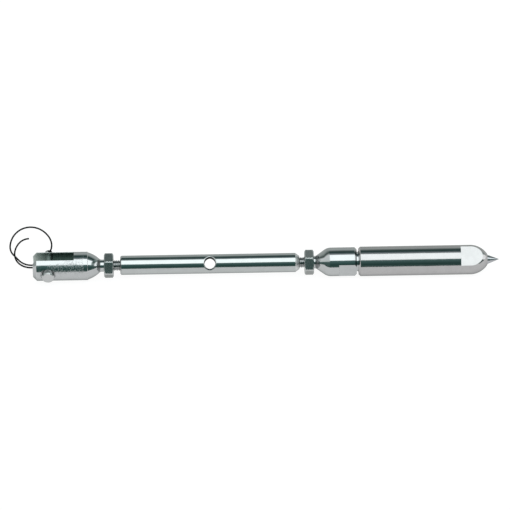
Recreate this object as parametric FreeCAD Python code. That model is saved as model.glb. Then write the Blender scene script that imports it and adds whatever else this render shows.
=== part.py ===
"""Rigging turnbuckle: fork end, closed body and barrel-and-spike rope terminal. Millimetres.

The origin is the middle of the clevis pin. +X runs along the turnbuckle from the fork to the spike,
Y is the clevis pin's axis with its head at -Y, and +Z is up. Angles about X start at -Y, towards +Z.
"""

import FreeCAD, Part
import os
from math import cos, pi, radians, sin, tan

from FreeCAD import Vector

OUT_DIR = "parts"
X_AXIS = Vector(1, 0, 0)
Y_AXIS = Vector(0, 1, 0)
Z_AXIS = Vector(0, 0, 1)
ORIGIN = Vector(0, 0, 0)
BEYOND = 1.0  # how far a cutting solid runs past the face it cuts
NEAR = 0.01  # two places closer than this are the same

# --- the M8 studs, right-hand at the fork and left-hand at the terminal ---
STUD_R = 4.0
STUD_PITCH = 1.25
STUD_TIP_CHAMFER = 1.0
STUD_IN_TUBE = 45.0
THREAD_GAP = 0.1  # radial gap between a thread's crest and the hole it runs in
RELIEF_LENGTH = 1.2  # undercut where a thread ends at a shoulder
THREAD_DEPTH = 0.6134  # of the pitch, from crest to root
RIDGE_SUNK = 0.15  # how far a thread's ridge starts below the root
CREST_HALF = 1 / 16  # of the pitch, half the width of a thread's crest
ROOT_HALF = 7 / 16  # of the pitch, half the width of a thread's foot
CORE_OVERRUN = 3  # pitches by which the core stands out of a thread's ridge before both are trimmed

# --- fork ---
FORK_R = 10.35
FORK_END_X = -11.0
FORK_END_CHAMFER = 2.7
SLOT_WIDTH = 9.0
SLOT_BOTTOM_X = 18.8
SHOULDER_X = 28.9
SHOULDER_STEP = 0.45
OGIVE_MID = (33.3, 7.95)
NECK_X = 38.9  # where the neck begins
NECK_R = 4.4
NECK_FILLET = 2.55
NECK_TURN = 48.0  # of the fillet between the ogive and the neck
EAR_HOLE_R = 3.05
SEAT_R = 5.3
SEAT_Y = -9.5  # the flat seat under the pin's head
SLOT_EDGE = 0.3

# --- clevis pin ---
PIN_R = 3.0
PIN_HEAD_R = 4.5
PIN_HEAD_Y = -13.8
PIN_HEAD_CHAMFER = 0.7
PIN_TAIL_Y = 16.4
PIN_TAIL_CHAMFER = 0.8
RING_HOLE_Y = 14.1
RING_HOLE_R = 1.3
RING_HOLE_MOUTH_R = 1.8
RING_HOLE_MOUTH_DEPTH = 0.9
RING_HOLE_TURN = 23.5  # from +Z towards +X

# --- split ring ---
WIRE_R = 0.6
RING_FACING = 26.0  # how far its face looks up from -Y
RING_AT_HOLE = (336.6, 13.84)  # angle and radius where the wire goes through the pin
RING_STEP = 15  # degrees between the points of the wire's line
# angle round the ring, radius from its centre, offset towards the ring's front
RING_STATIONS = [
    (102, 6.6, -0.5),
    (140, 8.05, -0.6),
    (180, 10.9, -0.7),
    (205, 13.4, -0.75),
    (225, 14.85, -0.8),
    (270, 15.25, -0.9),
    (312, 14.85, -0.95),
    (336.6, 13.84, 0.0),
    (362, 15.0, 0.95),
    (400, 15.25, 0.8),
    (455, 15.25, 0.65),
    (534, 15.25, 0.65),
    (554, 14.7, 0.7),
    (567, 13.5, 0.75),
    (590, 13.1, 0.7),
    (620, 13.1, 0.65),
    (652, 13.1, 0.6),
]

# --- lock nuts ---
NUT_FLATS = 16.0
NUT_THICKNESS = 6.8
NUT_FACE_R = 7.9
NUT_CHAMFER = 30.0  # of the corner chamfer, from the nut's face
NUT_MOUTH = 0.5  # depth of the chamfer at each end of the nut's hole
FORK_NUT_X = 40.6
FORK_NUT_TURN = 114.0  # the angle of one corner
TERMINAL_NUT_X = 186.2
TERMINAL_NUT_TURN = 118.0

# --- tube ---
TUBE_X = 52.4
TUBE_END_X = 182.5
TUBE_R = 7.0
TUBE_CHAMFER = 0.8  # at the right-hand end, which meets the fork
TUBE_TAPER_LENGTH = 3.0  # the left-hand end tapers, which tells the two apart
TUBE_TAPER_R = 4.8
TAPPED_DEPTH = 49.0
TAPPING_R = 3.4  # of the drilled hole that runs right through the middle
BAR_HOLE_R = 4.0
BAR_HOLE_TURN = 43.0
BAR_HOLE_ROUNDING = 0.8
RIM_POINTS = 7  # looked at on an edge to tell whether it is a rim of the bar hole

# --- terminal head ---
HEAD_NECK_X = 193.2
HEAD_NECK_R = 4.5
HEAD_NECK_FILLET = 2.2
HEAD_FLARE_ANGLE = 35.3
HEAD_SHOULDER_X = 205.4  # where the shoulder's arc runs out into the cylinder
HEAD_SHOULDER_FILLET = 8.3
HEAD_R = 10.45
HEAD_END_X = 224.1
HEAD_END_CHAMFER = 1.4
HEAD_FLAT_X = 211.2
HEAD_FLAT_DISTANCE = 8.5
HEAD_FLAT_TURN = -12.0
SPIGOT_R = 8.0
SPIGOT_PITCH = 1.5
SPIGOT_NECK = 2.6
SPIGOT_END_X = 239.5

# --- terminal barrel ---
BARREL_X = 225.4
BARREL_R = 10.75
BARREL_CHAMFER = 1.4
NOSE_X = 307.4
NOSE_MID = (315.2, 8.1)
MOUTH_X = 319.2
MOUTH_R = 3.6
MOUTH_LIP = 0.4
THREADED_DEPTH = 16.0
CHAMBER_R = 7.1
TAPER_X = 249.0
TAPER_R = 6.5
BARREL_FLAT_X = 299.7
BARREL_FLAT_DISTANCE = 7.8
BARREL_FLAT_TURN = 58.0

# --- spike ---
SPIKE_X = 256.0
SPIKE_EDGE = 0.5
SPIKE_GAP = 0.15
SPIKE_POINT_X = 327.6
SPIKE_TIP_R = 0.12

# derived sizes
NUT_CORNER_R = NUT_FLATS / 2 / cos(pi / 6)
FORK_STUD_END = TUBE_X + STUD_IN_TUBE
HEAD_STUD_END = TUBE_END_X - STUD_IN_TUBE
BORE_R = STUD_R + THREAD_GAP
TAPER_SLOPE = (TAPER_R - MOUTH_R) / (MOUTH_X - TAPER_X)


def about_x(angle):
    """The direction that points out from the X axis at an angle."""
    return Vector(0, -cos(radians(angle)), sin(radians(angle)))


def outline(start, *steps):
    """Closed face in the XZ plane; a step is a point, or a (through, end) pair for an arc."""
    edges = []
    here = Vector(start[0], 0, start[1])
    for step in steps + (start,):
        if isinstance(step[0], tuple):
            through = Vector(step[0][0], 0, step[0][1])
            there = Vector(step[1][0], 0, step[1][1])
            edges.append(Part.Arc(here, through, there).toShape())
        else:
            there = Vector(step[0], 0, step[1])
            edges.append(Part.LineSegment(here, there).toShape())
        here = there
    return Part.Face(Part.Wire(edges))


def turned(start, *steps):
    """Solid turned about X from an outline of (x, radius) points."""
    return outline(start, *steps).revolve(ORIGIN, X_AXIS, 360)


def on_fillet(x, level, radius, turn):
    """The (x, radius) point of an arc that is level at the given place, after a turn in degrees.

    The arc opens outwards for a positive radius and inwards for a negative one.
    """
    turn = radians(turn)
    return (x + radius * sin(turn), level + radius * (1 - cos(turn)))


def rod(x_low, x_high, radius):
    """Plain cylinder along X."""
    return Part.makeCylinder(radius, x_high - x_low, Vector(x_low, 0, 0), X_AXIS)


def threaded_rod(x_low, x_high, radius, pitch, left, tip):
    """Rod along X with a true helical thread; tip is the end, +1 or -1, that has a lead chamfer."""
    root = radius - THREAD_DEPTH * pitch
    helix = Part.makeHelix(pitch, x_high - x_low + 2 * pitch, root, 0, left)
    crest_half = pitch * CREST_HALF
    root_half = pitch * ROOT_HALF
    corners = [
        Vector(root - RIDGE_SUNK, 0, -root_half),
        Vector(radius, 0, -crest_half),
        Vector(radius, 0, crest_half),
        Vector(root - RIDGE_SUNK, 0, root_half),
    ]
    section = Part.makePolygon(corners + corners[:1])
    ridge = Part.Wire(helix.Edges).makePipeShell([section], True, True)
    ridge.rotate(ORIGIN, Y_AXIS, 90)
    ridge.translate(Vector(x_low - pitch, 0, 0))
    core = rod(x_low - CORE_OVERRUN * pitch, x_high + CORE_OVERRUN * pitch, root)
    lead = STUD_TIP_CHAMFER
    outside = radius + BEYOND
    ends = [(x_low, root + RIDGE_SUNK), (x_high, radius - lead)]
    if tip < 0:
        ends = [(x_low, radius - lead), (x_high, root + RIDGE_SUNK)]
    rise = [outside - ends[0][1], outside - ends[1][1]]
    envelope = turned(
        (x_low, 0), ends[0], (x_low + rise[0], outside),
        (x_high - rise[1], outside), ends[1], (x_high, 0),
    )
    return core.fuse(ridge).common(envelope)


def across_flats(shape, x_low, x_high, distance, turn):
    """Cuts two opposite flats at a distance from the X axis."""
    wide = 4 * distance
    for side in (0, 180):
        block = Part.makeBox(x_high - x_low, wide, wide, Vector(x_low, distance, -wide / 2))
        block.rotate(ORIGIN, X_AXIS, 180 - turn + side)
        shape = shape.cut(block)
    return shape


def is_slot_edge(edge):
    """True for the long edges of the fork's slot and the ends of its bottom, which are eased."""
    box = edge.BoundBox
    wall = SLOT_WIDTH / 2
    along = abs(abs(box.YMin) - wall) < NEAR and box.YLength < NEAR and box.XLength > FORK_R
    across = abs(box.XMin - SLOT_BOTTOM_X) < NEAR and box.XLength < NEAR and box.YLength > wall
    return along or across


def fork():
    """Slotted fork with its threaded stud in one piece."""
    end_r = FORK_R - FORK_END_CHAMFER
    ogive_end = on_fillet(NECK_X, NECK_R, NECK_FILLET, -NECK_TURN)
    fillet_mid = on_fillet(NECK_X, NECK_R, NECK_FILLET, -NECK_TURN / 2)
    body = turned(
        (FORK_END_X, 0),
        (FORK_END_X, end_r),
        (FORK_END_X + FORK_END_CHAMFER, FORK_R),
        (SHOULDER_X - SHOULDER_STEP / 2, FORK_R),
        (SHOULDER_X, FORK_R - SHOULDER_STEP),
        (OGIVE_MID, ogive_end),
        (fillet_mid, (NECK_X, NECK_R)),
        (FORK_NUT_X, NECK_R),
        (FORK_NUT_X, 0),
    )
    slot = Part.makeBox(
        SLOT_BOTTOM_X - FORK_END_X + BEYOND, SLOT_WIDTH, 4 * FORK_R,
        Vector(FORK_END_X - BEYOND, -SLOT_WIDTH / 2, -2 * FORK_R),
    )
    pin_hole = Part.makeCylinder(EAR_HOLE_R, 4 * FORK_R, Vector(0, -2 * FORK_R, 0), Y_AXIS)
    seat = Part.makeCylinder(SEAT_R, FORK_R, Vector(0, SEAT_Y - FORK_R, 0), Y_AXIS)
    body = body.cut(slot)
    slot_edges = [e for e in body.Edges if is_slot_edge(e)]
    body = body.makeChamfer(SLOT_EDGE, slot_edges).cut(pin_hole).cut(seat)
    relief_r = STUD_R - THREAD_DEPTH * STUD_PITCH
    stud = threaded_rod(
        FORK_NUT_X + RELIEF_LENGTH, FORK_STUD_END, STUD_R, STUD_PITCH, False, 1
    )
    relief = rod(FORK_NUT_X - BEYOND, FORK_NUT_X + RELIEF_LENGTH, relief_r)
    return body.fuse(relief).fuse(stud)


def clevis_pin():
    """Headed pin with a countersunk cross hole in its tail."""
    head = PIN_HEAD_CHAMFER
    tail = PIN_TAIL_CHAMFER
    pin = turned(
        (PIN_HEAD_Y, 0),
        (PIN_HEAD_Y, PIN_HEAD_R - head),
        (PIN_HEAD_Y + head, PIN_HEAD_R),
        (SEAT_Y, PIN_HEAD_R),
        (SEAT_Y, PIN_R),
        (PIN_TAIL_Y - tail, PIN_R),
        (PIN_TAIL_Y, PIN_R - tail),
        (PIN_TAIL_Y, 0),
    )
    pin.rotate(ORIGIN, Z_AXIS, 90)
    return pin.cut(ring_hole())


def ring_hole():
    """The cross hole in the pin's tail, opened out at both mouths."""
    deep = PIN_R - RING_HOLE_MOUTH_DEPTH
    wider = RING_HOLE_MOUTH_R - RING_HOLE_R
    far = PIN_R + RING_HOLE_MOUTH_DEPTH
    hole = turned(
        (-far, 0),
        (-far, RING_HOLE_R + 2 * wider),
        (-deep, RING_HOLE_R),
        (deep, RING_HOLE_R),
        (far, RING_HOLE_R + 2 * wider),
        (far, 0),
    )
    hole.rotate(ORIGIN, Y_AXIS, -(90 - RING_HOLE_TURN))
    hole.translate(Vector(0, RING_HOLE_Y, 0))
    return hole


def split_ring():
    """Spring wire of about one and a half turns, its outer turn through the pin's tail."""
    front = Vector(0, -cos(radians(RING_FACING)), sin(radians(RING_FACING)))
    up = Vector(0, sin(radians(RING_FACING)), cos(radians(RING_FACING)))

    def from_centre(angle, radius, offset):
        angle = radians(angle)
        return X_AXIS * (radius * cos(angle)) + up * (radius * sin(angle)) + front * offset

    centre = Vector(0, RING_HOLE_Y, 0) - from_centre(*RING_AT_HOLE, 0)
    route = Part.BSplineCurve()
    route.interpolate([Vector(*station) for station in RING_STATIONS])
    count = (RING_STATIONS[-1][0] - RING_STATIONS[0][0]) // RING_STEP
    points = [centre + from_centre(*p) for p in route.discretize(count)]
    line = Part.BSplineCurve()
    line.interpolate(points)
    start_direction = line.tangent(line.FirstParameter)[0]
    section = Part.Wire(Part.makeCircle(WIRE_R, points[0], start_direction))
    return Part.Wire(line.toShape()).makePipeShell([section], True, True)


def lock_nut(x_low, corner_turn):
    """Hexagon nut, chamfered on both faces, with a plain hole that clears the stud's thread."""
    corners = [about_x(corner_turn + 60 * i) * NUT_CORNER_R for i in range(7)]
    prism = Part.Face(Part.makePolygon(corners)).extrude(X_AXIS * NUT_THICKNESS)
    far = NUT_CORNER_R + BEYOND
    slant = (far - NUT_FACE_R) * tan(radians(NUT_CHAMFER))
    blank = turned(
        (0, 0), (0, NUT_FACE_R), (slant, far),
        (NUT_THICKNESS - slant, far), (NUT_THICKNESS, NUT_FACE_R), (NUT_THICKNESS, 0),
    )
    mouth_r = BORE_R + NUT_MOUTH + BEYOND
    bore = turned(
        (-BEYOND, 0), (-BEYOND, mouth_r), (NUT_MOUTH, BORE_R),
        (NUT_THICKNESS - NUT_MOUTH, BORE_R), (NUT_THICKNESS + BEYOND, mouth_r), (NUT_THICKNESS + BEYOND, 0),
    )
    nut = prism.common(blank).cut(bore)
    nut.translate(Vector(x_low, 0, 0))
    return nut


def is_bar_hole_rim(edge, middle):
    """True for the curves where the bar hole breaks through the outside of the tube."""
    for point in edge.discretize(RIM_POINTS):
        from_axis = Vector(0, point.y, point.z).Length
        if abs(from_axis - TUBE_R) > NEAR or abs(point.x - middle.x) > BAR_HOLE_R + NEAR:
            return False
    return True


def tube():
    """Plain body, tapped from both ends, with a cross hole for a tommy bar through its middle."""
    taper = BORE_R - TAPPING_R
    body = turned(
        (TUBE_X, BORE_R),
        (TUBE_X, TUBE_R - TUBE_CHAMFER),
        (TUBE_X + TUBE_CHAMFER, TUBE_R),
        (TUBE_END_X - TUBE_TAPER_LENGTH, TUBE_R),
        (TUBE_END_X, TUBE_TAPER_R),
        (TUBE_END_X, BORE_R),
        (TUBE_END_X - TAPPED_DEPTH, BORE_R),
        (TUBE_END_X - TAPPED_DEPTH - taper, TAPPING_R),
        (TUBE_X + TAPPED_DEPTH + taper, TAPPING_R),
        (TUBE_X + TAPPED_DEPTH, BORE_R),
    )
    middle = Vector((TUBE_X + TUBE_END_X) / 2, 0, 0)
    for side in (0, 180):
        direction = about_x(BAR_HOLE_TURN + side)
        body = body.cut(Part.makeCylinder(BAR_HOLE_R, TUBE_R + BEYOND, middle, direction))
    rims = [e for e in body.Edges if is_bar_hole_rim(e, middle)]
    return body.makeFillet(BAR_HOLE_ROUNDING, rims)


def terminal_head():
    """Flared head with a left-hand stud on one side and the barrel's threaded spigot on the other."""
    chamfer = HEAD_END_CHAMFER
    angle = HEAD_FLARE_ANGLE
    spigot_root = SPIGOT_R - THREAD_DEPTH * SPIGOT_PITCH
    shoulder_mid = on_fillet(HEAD_SHOULDER_X, HEAD_R, -HEAD_SHOULDER_FILLET, angle / 2)
    cone_end = on_fillet(HEAD_SHOULDER_X, HEAD_R, -HEAD_SHOULDER_FILLET, angle)
    rise = cone_end[1] - on_fillet(0, HEAD_NECK_R, HEAD_NECK_FILLET, angle)[1]
    neck_end = cone_end[0] - rise / tan(radians(angle)) - HEAD_NECK_FILLET * sin(radians(angle))
    body = turned(
        (HEAD_NECK_X, 0),
        (HEAD_NECK_X, HEAD_NECK_R),
        (neck_end, HEAD_NECK_R),
        (
            on_fillet(neck_end, HEAD_NECK_R, HEAD_NECK_FILLET, angle / 2),
            on_fillet(neck_end, HEAD_NECK_R, HEAD_NECK_FILLET, angle),
        ),
        cone_end,
        (shoulder_mid, (HEAD_SHOULDER_X, HEAD_R)),
        (HEAD_END_X - chamfer, HEAD_R),
        (HEAD_END_X, HEAD_R - chamfer),
        (HEAD_END_X, spigot_root),
        (HEAD_END_X + SPIGOT_NECK, spigot_root),
        (HEAD_END_X + SPIGOT_NECK, 0),
    )
    body = across_flats(body, HEAD_FLAT_X, HEAD_END_X, HEAD_FLAT_DISTANCE, HEAD_FLAT_TURN)
    spigot = threaded_rod(
        HEAD_END_X + SPIGOT_NECK, SPIGOT_END_X, SPIGOT_R, SPIGOT_PITCH, False, 1
    )
    stud_root = STUD_R - THREAD_DEPTH * STUD_PITCH
    relief = rod(HEAD_NECK_X - RELIEF_LENGTH, HEAD_NECK_X + BEYOND, stud_root)
    stud = threaded_rod(
        HEAD_STUD_END, HEAD_NECK_X - RELIEF_LENGTH, STUD_R, STUD_PITCH, True, -1
    )
    return body.fuse(spigot).fuse(relief).fuse(stud)


def terminal_barrel():
    """Bullet-nosed barrel with a tapered seat for the spike and two spanner flats."""
    blank = turned(
        (BARREL_X, 0),
        (BARREL_X, BARREL_R - BARREL_CHAMFER),
        (BARREL_X + BARREL_CHAMFER, BARREL_R),
        (NOSE_X, BARREL_R),
        (NOSE_MID, (MOUTH_X, MOUTH_R + MOUTH_LIP)),
        (MOUTH_X, 0),
    )
    thread_r = SPIGOT_R + THREAD_GAP
    thread_end = BARREL_X + THREADED_DEPTH
    cavity = turned(
        (BARREL_X - BEYOND, 0),
        (BARREL_X - BEYOND, thread_r),
        (thread_end, thread_r),
        (thread_end + thread_r - CHAMBER_R, CHAMBER_R),
        (TAPER_X - (CHAMBER_R - TAPER_R), CHAMBER_R),
        (TAPER_X, TAPER_R),
        (MOUTH_X + BEYOND, MOUTH_R - TAPER_SLOPE * BEYOND),
        (MOUTH_X + BEYOND, 0),
    )
    blank = across_flats(
        blank, BARREL_FLAT_X, MOUTH_X + BEYOND, BARREL_FLAT_DISTANCE, BARREL_FLAT_TURN
    )
    return blank.cut(cavity)


def spike():
    """Long cone in the barrel's taper, its sharp point out of the mouth."""
    large_r = TAPER_R - TAPER_SLOPE * (SPIKE_X - TAPER_X) - SPIKE_GAP
    small_r = MOUTH_R - SPIKE_GAP
    return turned(
        (SPIKE_X, 0),
        (SPIKE_X, large_r - SPIKE_EDGE),
        (SPIKE_X + SPIKE_EDGE, large_r - TAPER_SLOPE * SPIKE_EDGE),
        (MOUTH_X, small_r),
        (SPIKE_POINT_X, SPIKE_TIP_R),
        (SPIKE_POINT_X, 0),
    )


def main():
    os.makedirs(OUT_DIR, exist_ok=True)
    nodes = {
        "fork": fork(),
        "clevis_pin": clevis_pin(),
        "split_ring": split_ring(),
        "fork_lock_nut": lock_nut(FORK_NUT_X, FORK_NUT_TURN),
        "tube": tube(),
        "terminal_lock_nut": lock_nut(TERMINAL_NUT_X, TERMINAL_NUT_TURN),
        "terminal_head": terminal_head(),
        "terminal_barrel": terminal_barrel(),
        "spike": spike(),
    }
    for name, shape in nodes.items():
        print(name, shape.isValid(), len(shape.Solids), round(shape.Volume, 1))
        shape.exportStep(os.path.join(OUT_DIR, name + ".step"))


main()
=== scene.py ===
import math
from collections import namedtuple

import bpy
from mathutils import Matrix, Vector


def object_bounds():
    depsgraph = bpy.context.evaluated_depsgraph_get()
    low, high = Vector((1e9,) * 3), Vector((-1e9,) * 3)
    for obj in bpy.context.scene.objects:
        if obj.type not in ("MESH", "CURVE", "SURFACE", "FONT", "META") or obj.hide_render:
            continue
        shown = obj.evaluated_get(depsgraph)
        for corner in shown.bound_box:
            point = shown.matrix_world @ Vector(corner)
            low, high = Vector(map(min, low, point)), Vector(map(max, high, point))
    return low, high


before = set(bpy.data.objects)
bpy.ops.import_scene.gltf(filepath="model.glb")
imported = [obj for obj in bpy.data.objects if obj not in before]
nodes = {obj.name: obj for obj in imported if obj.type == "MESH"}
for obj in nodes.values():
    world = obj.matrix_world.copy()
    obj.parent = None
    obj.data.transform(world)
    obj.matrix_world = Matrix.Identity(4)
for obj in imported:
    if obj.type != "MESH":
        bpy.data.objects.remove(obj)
cad_low, cad_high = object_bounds()

MM = 0.001

# --- view, in degrees and metres ---
CAMERA_AZIMUTH = -0.6
CAMERA_ELEVATION = 38.0
CAMERA_ROLL = -0.57
CAMERA_DISTANCE = 3.0
CLIP_START = 0.1
CLIP_END = 50.0
VIEW_WIDTH = 0.3708
AIM_AHEAD = 0.0008  # from the middle of the turnbuckle's box to what the camera aims at, along X
AIM_ABOVE = 0.0059  # and up in the picture

# --- studio, in metres ---
# Each sky band is (angle in degrees, colour): 0 is the front horizon, 90 straight up and 180 the
# back horizon, all turned about the turnbuckle's long axis.
SKY_OVER = [
    (-1.0, (0.95, 0.95, 0.95)),
    (0.5, (0.06, 0.135, 0.12)),
    (12.0, (0.035, 0.09, 0.08)),
    (26.0, (0.07, 0.15, 0.14)),
    (42.0, (0.13, 0.24, 0.23)),
    (45.5, (0.16, 0.28, 0.27)),
    (48.5, (2.05, 2.17, 2.17)),
    (94.0, (2.05, 2.17, 2.17)),
    (97.0, (0.45, 0.5, 0.51)),
    (104.0, (0.3, 0.36, 0.38)),
    (111.0, (0.1, 0.16, 0.16)),
    (118.0, (0.045, 0.09, 0.085)),
    (128.0, (0.045, 0.09, 0.085)),
    (136.0, (0.26, 0.32, 0.31)),
    (152.0, (0.66, 0.71, 0.7)),
    (180.0, (0.8, 0.83, 0.82)),
]
# the same beyond the soft box's end on the fork's side, seen by faces that lean to -X
SKY_LEFT = [
    (-1.0, (0.95, 0.95, 0.95)),
    (0.5, (0.09, 0.15, 0.14)),
    (34.0, (0.12, 0.2, 0.19)),
    (46.0, (1.0, 1.08, 1.07)),
    (96.0, (1.15, 1.17, 1.17)),
    (108.0, (0.4, 0.45, 0.44)),
    (119.0, (0.07, 0.1, 0.09)),
    (132.0, (0.25, 0.3, 0.29)),
    (150.0, (0.55, 0.6, 0.58)),
    (180.0, (0.75, 0.78, 0.77)),
]
# and on the spike's side, seen by faces that lean to +X
SKY_RIGHT = [
    (-1.0, (0.95, 0.95, 0.95)),
    (0.5, (0.1, 0.16, 0.15)),
    (24.0, (0.06, 0.12, 0.11)),
    (44.0, (0.2, 0.28, 0.27)),
    (62.0, (0.5, 0.58, 0.57)),
    (80.0, (0.14, 0.2, 0.19)),
    (100.0, (0.1, 0.17, 0.16)),
    (122.0, (0.35, 0.44, 0.42)),
    (180.0, (0.55, 0.62, 0.6)),
]
# and of the tall white card beyond that, at the spike's end
SKY_CARD = [
    (-1.0, (0.95, 0.95, 0.95)),
    (0.5, (0.08, 0.14, 0.13)),
    (28.0, (0.08, 0.14, 0.13)),
    (38.0, (1.7, 1.75, 1.75)),
    (150.0, (1.75, 1.78, 1.78)),
    (180.0, (1.5, 1.52, 1.52)),
]
# degrees towards +X over which one sky gives way to the next
LEFT_TO_OVER = (-14.0, -8.0)
OVER_TO_RIGHT = (45.0, 50.0)
RIGHT_TO_CARD = (58.0, 63.0)
BACKDROP = (0.98, 0.98, 0.98, 1)
FLOOR_SIZE = 12.0
FLOOR_COLOUR = (0.12, 0.12, 0.12, 1)
FLOOR_ROUGHNESS = 0.9
FLOOR_SPECULAR = 0.1
FLOOR_GLOW = 0.93
GLOW_FRONT = 0.103  # how far in front of the turnbuckle the lit part of the table ends, as reflected
ROOM = (0.05, 0.11, 0.1, 1)

# --- metal, with depths and distances in mm ---
EDGE_TINT = (0.45, 0.47, 0.46, 1)
WORN_COLOUR = (0.56, 0.58, 0.58, 1)
WORN_SHINE = 0.6  # the share of its roughness that an edge loses where it is worn
WORN_BEND = (0.995, 0.96)  # cosine of the bend at which wear starts and is full
EDGE_SAMPLES = 8
SMUDGE = 0.04  # how much the roughness varies from patch to patch
SPARE = 0.05  # how much darker the metal gets in patches
SCRATCH_DEPTH = 0.004
SCRATCH_STRENGTH = 0.3
CREVICE_REACH = 0.9  # how far from a corner the painted shade darkens the metal
CREVICE_OPEN = (0.15, 0.6)  # how open a point is where the painted shade ends and starts
CREVICE_SAMPLES = 4
CORNER_SHADE = 0.25  # the share of the metal's colour that is left under the painted shade in corners
POLISHED = (0.45, 0.465, 0.47)
POLISH = {"roughness": 0.06, "turned": 0.0006, "wave": 0.03}

# Each texture is (stretch along X, Y and Z, scale per metre, detail, roughness).
RINGS = ((1.0, 0.02, 0.02), 2600.0, 4.0, 0.65)
WAVES = ((1.0, 1.6, 1.6), 95.0, 3.0, 0.55)
GRAIN = ((1.0, 0.35, 0.35), 620.0, 3.0, 0.6)
PATCHES = ((1.0, 1.0, 1.0), 180.0, 5.0, 0.6)
HAIRS = ((0.05, 1.0, 1.0), 3000.0, 3.0, 0.7)
PRINT_AREAS = ((1.0, 1.0, 1.0), 60.0, 2.0, 0.5)
PRINT_GRAIN = ((1.0, 1.0, 1.0), 900.0, 4.0, 0.7)
# the part of a texture's range that is spread from 0 to 1
PATCH_RANGE = (0.3, 0.7)
TINT_RANGE = (0.35, 0.6)
HAIR_RANGE = (0.66, 0.74)
AREA_RANGE = (0.48, 0.62)
PRINT_RANGE = (0.42, 0.6)

# --- places on the pieces, in mm from the pin's middle or, for radii, from the long axis ---
SLOT_HALF = 4.6
SLOT_BOTTOM = 18.9
MOUTH_START = 3.0
MOUTH_END = -9.0
PRINTS_END = 26.0
BAR_HOLE_X = 117.45
BAR_HOLE_REACH = 5.5
BAR_WALL_R = 6.7
TAPER_START = 179.6

# the faces of a piece that a mask is 1 on, which have their own colour and roughness
Faces = namedtuple("Faces", "mask colour roughness")


def node_tree(owner):
    owner.use_nodes = True
    tree = owner.node_tree
    tree.nodes.clear()
    return tree


def add(tree, kind, **settings):
    node = tree.nodes.new(kind)
    for key, value in settings.items():
        setattr(node, key, value)
    return node


def feed(tree, socket, value):
    """A number, a colour or a link into a socket."""
    if isinstance(value, bpy.types.NodeSocket):
        tree.links.new(value, socket)
    else:
        socket.default_value = value


def feed_all(tree, node, **values):
    """Values into the sockets of a node, named as its sockets are but with _ for a space."""
    for key, value in values.items():
        feed(tree, node.inputs[key.replace("_", " ")], value)


def math_node(tree, operation, a, b=None, clamp=False):
    node = add(tree, "ShaderNodeMath", operation=operation, use_clamp=clamp)
    feed(tree, node.inputs[0], a)
    if b is not None:
        feed(tree, node.inputs[1], b)
    return node.outputs[0]


def spread(tree, value, low, high, to_low=0.0, to_high=1.0):
    """Map Range, clamped."""
    node = add(tree, "ShaderNodeMapRange")
    feed_all(tree, node, Value=value, From_Min=low, From_Max=high, To_Min=to_low, To_Max=to_high)
    return node.outputs[0]


def ramp(tree, value, stops):
    """A colour ramp of (position, colour) stops."""
    node = add(tree, "ShaderNodeValToRGB")
    elements = node.color_ramp.elements
    for position, _ in stops[len(elements):]:
        elements.new(position)
    for element, (position, colour) in zip(elements, stops):
        element.position = position
        element.color = (*colour, 1)
    feed(tree, node.inputs[0], value)
    return node.outputs[0]


def mix_colour(tree, share, a, b):
    node = add(tree, "ShaderNodeMixRGB")
    for socket, value in zip(node.inputs, (share, a, b)):
        feed(tree, socket, value)
    return node.outputs[0]


def mix_shader(tree, share, a, b):
    node = add(tree, "ShaderNodeMixShader")
    for socket, value in zip(node.inputs, (share, a, b)):
        feed(tree, socket, value)
    return node.outputs[0]


def place(tree):
    """Where a point is on its piece, in metres."""
    return add(tree, "ShaderNodeTexCoord").outputs["Object"]


def xyz(tree, vector):
    node = add(tree, "ShaderNodeSeparateXYZ")
    feed(tree, node.inputs[0], vector)
    return node.outputs


def noise(tree, where, texture):
    stretch, scale, detail, roughness = texture
    mapping = add(tree, "ShaderNodeMapping")
    feed_all(tree, mapping, Vector=where, Scale=stretch)
    node = add(tree, "ShaderNodeTexNoise")
    feed_all(tree, node, Vector=mapping.outputs[0], Scale=scale, Detail=detail, Roughness=roughness)
    return node.outputs[0]


def bump(tree, height, depth, normal, strength=1.0):
    """Relief of a depth in mm on top of a normal, which may be None."""
    node = add(tree, "ShaderNodeBump")
    feed_all(tree, node, Height=height, Distance=depth * MM, Strength=strength)
    if normal is not None:
        feed_all(tree, node, Normal=normal)
    return node.outputs[0]


def sky_ramp(tree, turn, bands, peak):
    """Colours over a turn from -180 to 180 degrees, divided by the peak."""
    return ramp(tree, turn, [((a + 180) / 360, [c / peak for c in colour]) for a, colour in bands])


def make_world():
    """A studio with one long soft box over the turnbuckle and a dim room round it."""
    world = bpy.data.worlds.new("studio")
    bpy.context.scene.world = world
    tree = node_tree(world)
    x, y, z = xyz(tree, add(tree, "ShaderNodeTexCoord").outputs["Generated"])
    front = math_node(tree, "MULTIPLY", y, -1.0)
    angle = math_node(tree, "ARCTAN2", z, front)
    turn = math_node(tree, "DIVIDE", math_node(tree, "ADD", angle, math.pi), 2 * math.pi)
    along = math_node(tree, "ARCSINE", x)
    peak = max(max(colour) for _, colour in SKY_OVER)
    sky = sky_ramp(tree, turn, SKY_LEFT, peak)
    for change, bands in ((LEFT_TO_OVER, SKY_OVER), (OVER_TO_RIGHT, SKY_RIGHT), (RIGHT_TO_CARD, SKY_CARD)):
        share = spread(tree, along, *(math.radians(a) for a in change))
        sky = mix_colour(tree, share, sky, sky_ramp(tree, turn, bands, peak))
    light = add(tree, "ShaderNodeBackground")
    feed_all(tree, light, Color=sky, Strength=peak)
    plain = add(tree, "ShaderNodeBackground")
    feed_all(tree, plain, Color=BACKDROP)
    seen = add(tree, "ShaderNodeLightPath").outputs["Is Camera Ray"]
    out = add(tree, "ShaderNodeOutputWorld")
    feed_all(tree, out, Surface=mix_shader(tree, seen, light.outputs[0], plain.outputs[0]))


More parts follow.
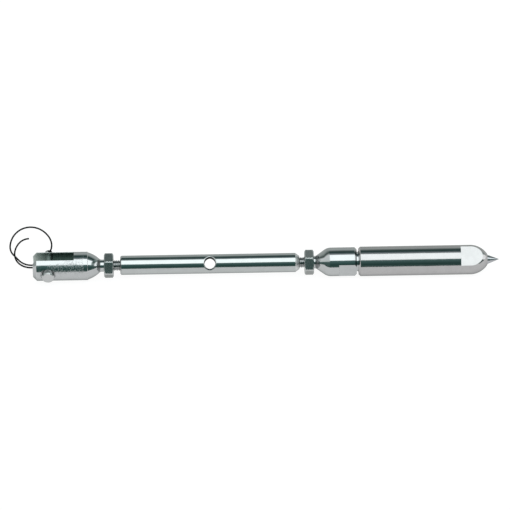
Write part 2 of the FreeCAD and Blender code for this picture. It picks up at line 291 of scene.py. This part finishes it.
def floor_material():
    """Pale and lit from below, and dim at the front for the rays that the metal reflects."""
    material = bpy.data.materials.new("pale_floor")
    tree = node_tree(material)
    lit = add(tree, "ShaderNodeBsdfPrincipled")
    feed_all(
        tree, lit, Base_Color=FLOOR_COLOUR, Roughness=FLOOR_ROUGHNESS, Specular_IOR_Level=FLOOR_SPECULAR,
        Emission_Color=(1, 1, 1, 1), Emission_Strength=FLOOR_GLOW,
    )
    beyond = add(tree, "ShaderNodeBsdfDiffuse")
    feed_all(tree, beyond, Color=ROOM)
    in_front = math_node(tree, "LESS_THAN", xyz(tree, place(tree))[1], -GLOW_FRONT)
    seen = add(tree, "ShaderNodeLightPath").outputs["Is Camera Ray"]
    share = math_node(tree, "MULTIPLY", in_front, math_node(tree, "SUBTRACT", 1.0, seen))
    out = add(tree, "ShaderNodeOutputMaterial")
    feed_all(tree, out, Surface=mix_shader(tree, share, lit.outputs[0], beyond.outputs[0]))
    return material


def make_floor():
    """The table that the turnbuckle lies on."""
    half = FLOOR_SIZE / 2
    low = cad_low.z
    mesh = bpy.data.meshes.new("floor")
    corners = [(-half, -half, low), (half, -half, low), (half, half, low), (-half, half, low)]
    mesh.from_pydata(corners, [], [(0, 1, 2, 3)])
    mesh.materials.append(floor_material())
    floor = bpy.data.objects.new("floor", mesh)
    bpy.context.scene.collection.objects.link(floor)


def make_camera():
    """Long lens, so that the view is nearly flat, as in the photograph."""
    azimuth = math.radians(CAMERA_AZIMUTH)
    elevation = math.radians(CAMERA_ELEVATION)
    back = Vector((
        math.sin(azimuth) * math.cos(elevation),
        -math.cos(azimuth) * math.cos(elevation),
        math.sin(elevation),
    ))
    turn = (-back).to_track_quat("-Z", "Y").to_matrix()
    above = turn @ Vector((0, 1, 0))
    middle = Vector(((cad_low.x + cad_high.x) / 2 + AIM_AHEAD, 0, 0))
    data = bpy.data.cameras.new("camera")
    data.lens = data.sensor_width / 2 / (VIEW_WIDTH / 2 / CAMERA_DISTANCE)
    data.clip_start = CLIP_START
    data.clip_end = CLIP_END
    camera = bpy.data.objects.new("camera", data)
    bpy.context.scene.collection.objects.link(camera)
    camera.location = middle + above * AIM_ABOVE + back * CAMERA_DISTANCE
    roll = Matrix.Rotation(math.radians(CAMERA_ROLL), 3, back)
    camera.rotation_mode = "QUATERNION"
    camera.rotation_quaternion = (roll @ turn).to_quaternion()
    bpy.context.scene.camera = camera


def finger_prints(tree, where):
    """1 where finger marks lie on the part of the fork that is handled."""
    areas = spread(tree, noise(tree, where, PRINT_AREAS), *AREA_RANGE)
    ridges = spread(tree, noise(tree, where, PRINT_GRAIN), *PRINT_RANGE)
    held = math_node(tree, "LESS_THAN", xyz(tree, where)[0], PRINTS_END * MM)
    return math_node(tree, "MULTIPLY", math_node(tree, "MULTIPLY", areas, held), ridges)


def softened(tree, rounding):
    """The normal of edges rounded to a radius in mm, and how worn they are."""
    bevel = add(tree, "ShaderNodeBevel", samples=EDGE_SAMPLES)
    feed_all(tree, bevel, Radius=rounding * MM)
    true_normal = add(tree, "ShaderNodeNewGeometry").outputs["True Normal"]
    bend = add(tree, "ShaderNodeVectorMath", operation="DOT_PRODUCT")
    feed(tree, bend.inputs[0], bevel.outputs[0])
    feed(tree, bend.inputs[1], true_normal)
    return bevel.outputs[0], spread(tree, bend.outputs["Value"], *WORN_BEND)


def openness(tree):
    """0 deep in a corner and 1 in the open, which sets where shade is painted into corners."""
    node = add(tree, "ShaderNodeAmbientOcclusion", samples=CREVICE_SAMPLES)
    feed_all(tree, node, Distance=CREVICE_REACH * MM)
    return spread(tree, node.outputs["AO"], *CREVICE_OPEN)


def steel(name, colour, roughness, turned=0.0, wave=0.0, grain=0.0, rounding=0.0, recoloured_faces=(),
          handled=0.0, edge=EDGE_TINT):
    """Stainless steel with fine turned rings about X, a slow waviness, smudges, stray scratches and
    painted shade in its corners.

    turned, wave and grain are depths in mm. rounding is the radius in mm that sharp edges are
    softened to and worn bright on. The listed Faces have their own colour and roughness; some are a
    machined finish, and others carry painted shade and painted light. handled is how much finger
    marks dull the polish. edge is the colour that grazing light is reflected in.
    """
    material = bpy.data.materials.new(name)
    tree = node_tree(material)
    where = place(tree)
    rings = noise(tree, where, RINGS)
    patches = noise(tree, where, PATCHES)
    smudged = spread(tree, patches, *PATCH_RANGE, roughness - SMUDGE / 2, roughness + SMUDGE / 2)
    ringed = math_node(tree, "MULTIPLY", rings, SMUDGE / 2)
    gloss = math_node(tree, "ADD", smudged, ringed, clamp=True)
    darker = [c * (1 - SPARE) for c in colour]
    tint = ramp(tree, patches, list(zip(TINT_RANGE, (darker, colour))))
    if handled:
        dulled = math_node(tree, "MULTIPLY", finger_prints(tree, where), handled)
        gloss = math_node(tree, "ADD", gloss, dulled, clamp=True)
    normal = None
    if rounding:
        normal, worn = softened(tree, rounding)
        kept = math_node(tree, "SUBTRACT", 1.0, math_node(tree, "MULTIPLY", worn, WORN_SHINE))
        gloss = math_node(tree, "MULTIPLY", gloss, kept)
        tint = mix_colour(tree, worn, tint, WORN_COLOUR)
    if wave:
        normal = bump(tree, noise(tree, where, WAVES), wave, normal)
    if grain:
        normal = bump(tree, noise(tree, where, GRAIN), grain, normal)
    if turned:
        normal = bump(tree, rings, turned, normal)
    hairs = spread(tree, noise(tree, where, HAIRS), *HAIR_RANGE)
    normal = bump(tree, hairs, SCRATCH_DEPTH, normal, SCRATCH_STRENGTH)
    # each listed face takes its own colour and roughness: some are a machined finish, and others carry
    # painted shade and painted light
    for faces in recoloured_faces:
        share = faces.mask(tree, where)
        tint = mix_colour(tree, share, tint, (*faces.colour, 1))
        gloss = math_node(tree, "MAXIMUM", gloss, math_node(tree, "MULTIPLY", share, faces.roughness))
    # painted shade: the colour darkens in corners and crevices, where shade falls
    corner_shade = (*(c * CORNER_SHADE for c in colour), 1)
    tint = mix_colour(tree, openness(tree), corner_shade, tint)
    shader = add(tree, "ShaderNodeBsdfPrincipled")
    feed_all(tree, shader, Metallic=1.0, Specular_Tint=edge)
    feed_all(tree, shader, Base_Color=tint, Roughness=gloss, Normal=normal)
    out = add(tree, "ShaderNodeOutputMaterial")
    feed_all(tree, out, Surface=shader.outputs[0])
    return material


def in_slot(tree, where):
    """1 on the walls and the bottom of the fork's slot, and on the pin between them."""
    x, y, _ = xyz(tree, where)
    across = math_node(tree, "LESS_THAN", math_node(tree, "ABSOLUTE", y), SLOT_HALF * MM)
    along = math_node(tree, "LESS_THAN", x, SLOT_BOTTOM * MM)
    return math_node(tree, "MULTIPLY", across, along)


def near_mouth(tree, where):
    """Grows from 0 to 1 along the slot's walls towards their duller open end."""
    opening = spread(tree, xyz(tree, where)[0], MOUTH_START * MM, MOUTH_END * MM)
    return math_node(tree, "MULTIPLY", in_slot(tree, where), opening)


def in_bar_hole(tree, where):
    """1 on the drilled walls of the tube's cross hole."""
    x, y, z = xyz(tree, where)
    squares = [math_node(tree, "MULTIPLY", side, side) for side in (y, z)]
    off_axis = math_node(tree, "SQRT", math_node(tree, "ADD", *squares))
    inside = math_node(tree, "LESS_THAN", off_axis, BAR_WALL_R * MM)
    along = math_node(tree, "ABSOLUTE", math_node(tree, "SUBTRACT", x, BAR_HOLE_X * MM))
    return math_node(tree, "MULTIPLY", inside, math_node(tree, "LESS_THAN", along, BAR_HOLE_REACH * MM))


def on_taper(tree, where):
    """1 on the turned taper at the tube's right-hand end."""
    return math_node(tree, "GREATER_THAN", xyz(tree, where)[0], TAPER_START * MM)


def set_view():
    bpy.context.scene.view_settings.view_transform = "Standard"
    bpy.context.scene.view_settings.look = "None"


def fork_steel():
    """Polished, with finger marks round the jaw and a slot that is less polished inside, with painted
    shade on its walls that gives way to a painted lighter grey towards its open end.
    """
    # painted shade: the slot's walls and bottom are coloured dark, where shade falls in the recess
    slot = Faces(in_slot, colour=(0.2, 0.26, 0.24), roughness=0.14)
    # near the open end the painted shade gives way to a lighter grey, which is painted light on a rougher
    # finish
    mouth = Faces(near_mouth, colour=(0.5, 0.55, 0.53), roughness=0.35)
    return steel(
        "polished_fork", colour=POLISHED, grain=0.012, rounding=0.4, recoloured_faces=[slot, mouth], handled=0.4,
        **POLISH,
    )


def pin_steel():
    """Satin, with a painted highlight that makes the pin brighter where it crosses the slot."""
    # painted highlight: the shaft is coloured near white where it crosses the dark slot
    shaft_highlight = Faces(in_slot, colour=(0.92, 0.94, 0.93), roughness=0.32)
    return steel("satin_pin", colour=(0.5, 0.51, 0.51), roughness=0.3, turned=0.002, recoloured_faces=[shaft_highlight])


def ring_steel():
    """Spring wire, painted near black to stand in for the shade and dark reflections along it."""
    # painted shade: the wire's colour and edge tint are near black
    return steel("spring_wire", colour=(0.02, 0.022, 0.022), roughness=0.25, edge=(0.12, 0.12, 0.12, 1))


def nut_steel():
    """Machined, with worn corners."""
    return steel(
        "machined_nut", colour=(0.4, 0.41, 0.41), roughness=0.27, turned=0.002, wave=0.01, rounding=1.6,
    )


def tube_steel():
    """Polished, with painted shade on the drilled walls of the bar hole, and a turned taper that is
    rougher and has a painted highlight.
    """
    # painted shade: the bar hole's walls are coloured near black, where shade falls inside the hole
    drilled = Faces(in_bar_hole, colour=(0.03, 0.04, 0.04), roughness=0.5)
    # the taper's turned finish is rougher, and its lighter colour is a painted highlight
    taper = Faces(on_taper, colour=(0.6, 0.61, 0.61), roughness=0.34)
    return steel(
        "polished_tube", colour=(0.445, 0.465, 0.465), grain=0.012, recoloured_faces=[drilled, taper], **POLISH,
    )


def head_steel():
    """Polished all over."""
    return steel("polished_stainless", colour=POLISHED, grain=0.01, **POLISH)


def barrel_steel():
    """Polished less finely than the head, so that what it reflects is a little softer."""
    return steel(
        "barrel_stainless", colour=(0.42, 0.417, 0.42), roughness=0.1, turned=0.0012, wave=0.03,
        grain=0.014,
    )


def spike_steel():
    """Fine turned, with rings that show."""
    return steel("fine_turned_spike", colour=(0.42, 0.43, 0.45), roughness=0.1, turned=0.004)


def dress_pieces():
    """Each piece in its own steel, and both nuts in the same."""
    nut = nut_steel()
    looks = {
        "fork": fork_steel(),
        "clevis_pin": pin_steel(),
        "split_ring": ring_steel(),
        "fork_lock_nut": nut,
        "tube": tube_steel(),
        "terminal_lock_nut": nut,
        "terminal_head": head_steel(),
        "terminal_barrel": barrel_steel(),
        "spike": spike_steel(),
    }
    for name, material in looks.items():
        nodes[name].data.materials.clear()
        nodes[name].data.materials.append(material)


make_world()
make_floor()
make_camera()
set_view()
dress_pieces()
